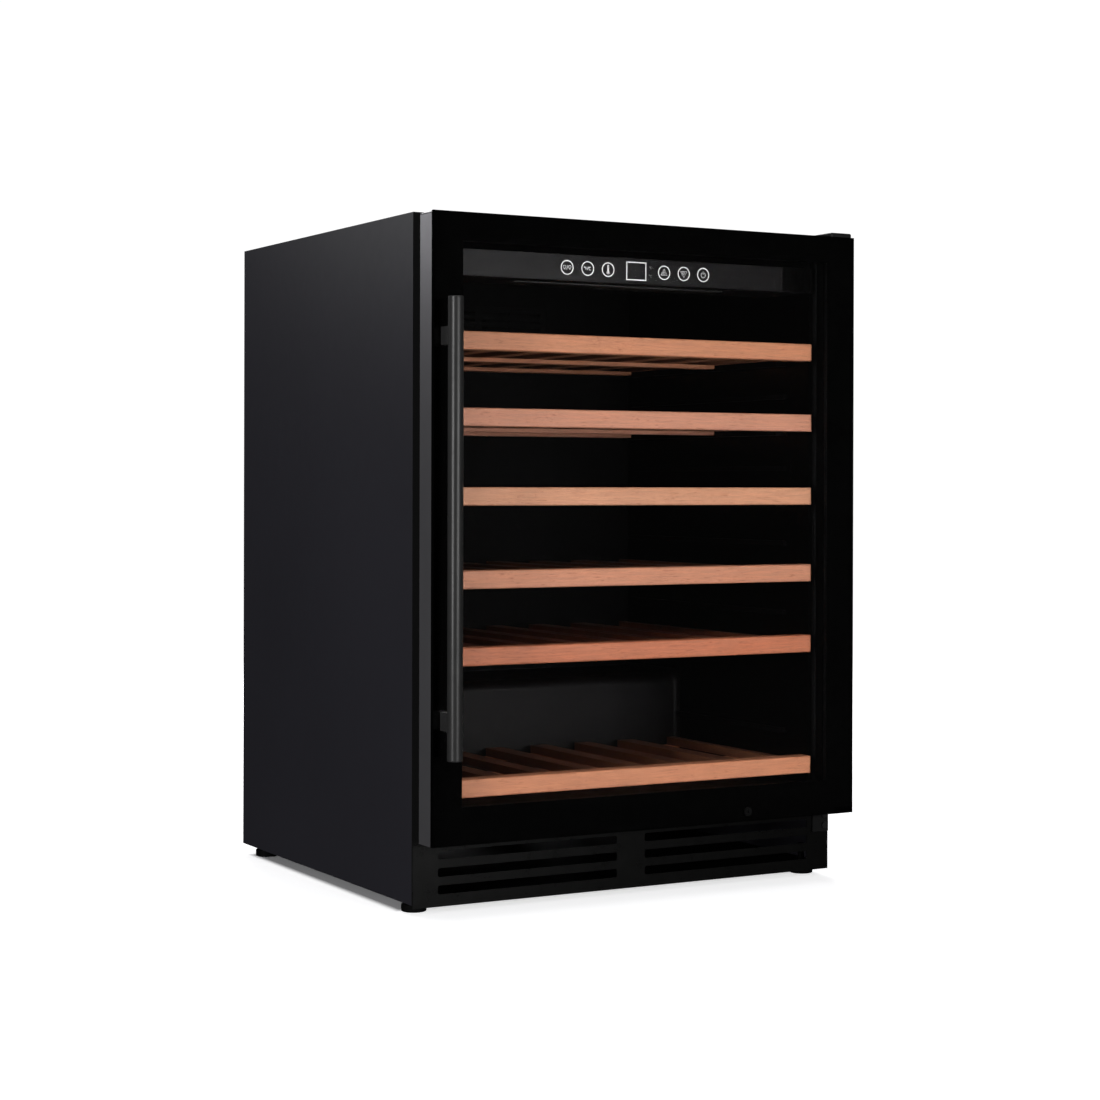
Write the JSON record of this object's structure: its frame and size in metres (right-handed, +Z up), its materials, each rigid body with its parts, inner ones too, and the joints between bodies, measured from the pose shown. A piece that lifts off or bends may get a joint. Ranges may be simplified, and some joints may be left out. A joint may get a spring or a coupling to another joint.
{
  "type": "wine cooler",
  "caption": "Under-counter wine cooler with a full-glass door, long bar handle, beech shelves, touch control strip and slotted kick plate.",
  "frame": {"origin": "centre of the whole footprint, handle and rear screws included, on the floor", "axes": "+Z up, +X to the right seen from the front, the door faces -Y"},
  "size_m": [0.595, 0.611, 0.82],
  "materials": {
    "cabinet_steel": "satin",
    "zinc_steel": "satin",
    "kick_plate": "satin",
    "foam": "matte",
    "liner": "matte",
    "black_plastic": "satin",
    "fascia": "gloss",
    "board": "satin",
    "display": "gloss",
    "sensor": "matte",
    "lamp": "satin",
    "compressor": "satin",
    "rubber": "matte",
    "fins": "satin",
    "copper": "satin",
    "glass": "gloss",
    "door_frame": "satin",
    "spacer": "matte",
    "handle": "satin",
    "lock": "satin",
    "beech": "satin"
  },
  "bodies": {
    "cabinet": {"side_panel_left": "cabinet_steel", "side_panel_right": "cabinet_steel", "top_panel": "cabinet_steel", "front_frame": "cabinet_steel", "hinge_bracket_top": "cabinet_steel", "hinge_bracket_bottom": "cabinet_steel", "rear_panel": "zinc_steel", "base_plate": "zinc_steel", "lower_deck": "zinc_steel", "rear_grille": "zinc_steel", "cabinet_screws": "zinc_steel", "kick_plate": "kick_plate", "foam_insulation": "foam", "inner_liner": "liner", "evaporator_cover": "liner", "control_housing": "liner", "shelf_guides": "liner", "evaporator_fan_housing": "black_plastic", "condenser_fan_housing": "black_plastic", "hinge_cover": "black_plastic", "power_inlet": "black_plastic", "drip_tray": "black_plastic", "control_fascia": "fascia", "control_board": "board", "display_module": "display", "touch_sensors": "sensor", "light_bar": "lamp", "compressor": "compressor", "compressor_grommets": "rubber", "condenser": "fins", "evaporator": "fins", "refrigerant_lines": "copper"},
    "door": {"door_glass_outer": "glass", "door_glass_inner": "glass", "door_frame": "door_frame", "glazing_spacer": "spacer", "door_gasket": "rubber", "handle_bar": "handle", "handle_posts": "handle", "hinge_bushes": "black_plastic", "lock_housing": "lock"},
    "lock_core": {"lock_cylinder": "lock"},
    "evaporator_blades": {"evaporator_fan_impeller": "black_plastic"},
    "condenser_blades": {"condenser_fan_impeller": "black_plastic"},
    "shelf_1": {"shelf_1_front": "beech", "shelf_1_rack": "beech"},
    "shelf_2": {"shelf_2_front": "beech", "shelf_2_rack": "beech"},
    "shelf_3": {"shelf_3_front": "beech", "shelf_3_rack": "beech"},
    "shelf_4": {"shelf_4_front": "beech", "shelf_4_rack": "beech"},
    "shelf_5": {"shelf_5_front": "beech", "shelf_5_rack": "beech"},
    "shelf_6": {"shelf_6_front": "beech", "shelf_6_rack": "beech"},
    "foot_front_left": {"foot_front_left": "black_plastic"},
    "foot_rear_left": {"foot_rear_left": "black_plastic"},
    "foot_front_right": {"foot_front_right": "black_plastic"},
    "foot_rear_right": {"foot_rear_right": "black_plastic"}
  },
  "joints": [
    {"name": "door_hinge", "type": "hinge", "parent": "cabinet", "child": "door", "pos_m": [0.288, -0.2465, 0.45], "axis": [0, 0, 1], "range_deg": [0, 115]},
    {"name": "door_lock_turn", "type": "hinge", "parent": "door", "child": "lock_core", "pos_m": [0.137, -0.2465, 0.099], "axis": [0, 1, 0], "range_deg": [0, 90]},
    {"name": "evaporator_fan_spin", "type": "hinge", "parent": "cabinet", "child": "evaporator_blades", "pos_m": [0, 0.2205, 0.716], "axis": [0, 1, 0], "continuous": true},
    {"name": "condenser_fan_spin", "type": "hinge", "parent": "cabinet", "child": "condenser_blades", "pos_m": [0.025, 0.2135, 0.088], "axis": [1, 0, 0], "continuous": true},
    {"name": "shelf_1_slide", "type": "slide", "parent": "cabinet", "child": "shelf_1", "axis": [0, -1, 0], "range_m": [0, 0.3]},
    {"name": "shelf_2_slide", "type": "slide", "parent": "cabinet", "child": "shelf_2", "axis": [0, -1, 0], "range_m": [0, 0.3]},
    {"name": "shelf_3_slide", "type": "slide", "parent": "cabinet", "child": "shelf_3", "axis": [0, -1, 0], "range_m": [0, 0.3]},
    {"name": "shelf_4_slide", "type": "slide", "parent": "cabinet", "child": "shelf_4", "axis": [0, -1, 0], "range_m": [0, 0.3]},
    {"name": "shelf_5_slide", "type": "slide", "parent": "cabinet", "child": "shelf_5", "axis": [0, -1, 0], "range_m": [0, 0.3]},
    {"name": "shelf_6_slide", "type": "slide", "parent": "cabinet", "child": "shelf_6", "axis": [0, -1, 0], "range_m": [0, 0.2]},
    {"name": "foot_front_left_level", "type": "slide", "parent": "cabinet", "child": "foot_front_left", "axis": [0, 0, -1], "range_m": [0, 0.02]},
    {"name": "foot_rear_left_level", "type": "slide", "parent": "cabinet", "child": "foot_rear_left", "axis": [0, 0, -1], "range_m": [0, 0.02]},
    {"name": "foot_front_right_level", "type": "slide", "parent": "cabinet", "child": "foot_front_right", "axis": [0, 0, -1], "range_m": [0, 0.02]},
    {"name": "foot_rear_right_level", "type": "slide", "parent": "cabinet", "child": "foot_rear_right", "axis": [0, 0, -1], "range_m": [0, 0.02]}
  ],
  "couplings": [
    {"joint": "shelf_1_slide", "follows": "door_hinge", "m_per_rad": 0.05},
    {"joint": "shelf_2_slide", "follows": "door_hinge", "m_per_rad": 0.05},
    {"joint": "shelf_3_slide", "follows": "door_hinge", "m_per_rad": 0.05},
    {"joint": "shelf_4_slide", "follows": "door_hinge", "m_per_rad": 0.05},
    {"joint": "shelf_5_slide", "follows": "door_hinge", "m_per_rad": 0.05},
    {"joint": "shelf_6_slide", "follows": "door_hinge", "m_per_rad": 0.05}
  ]
}
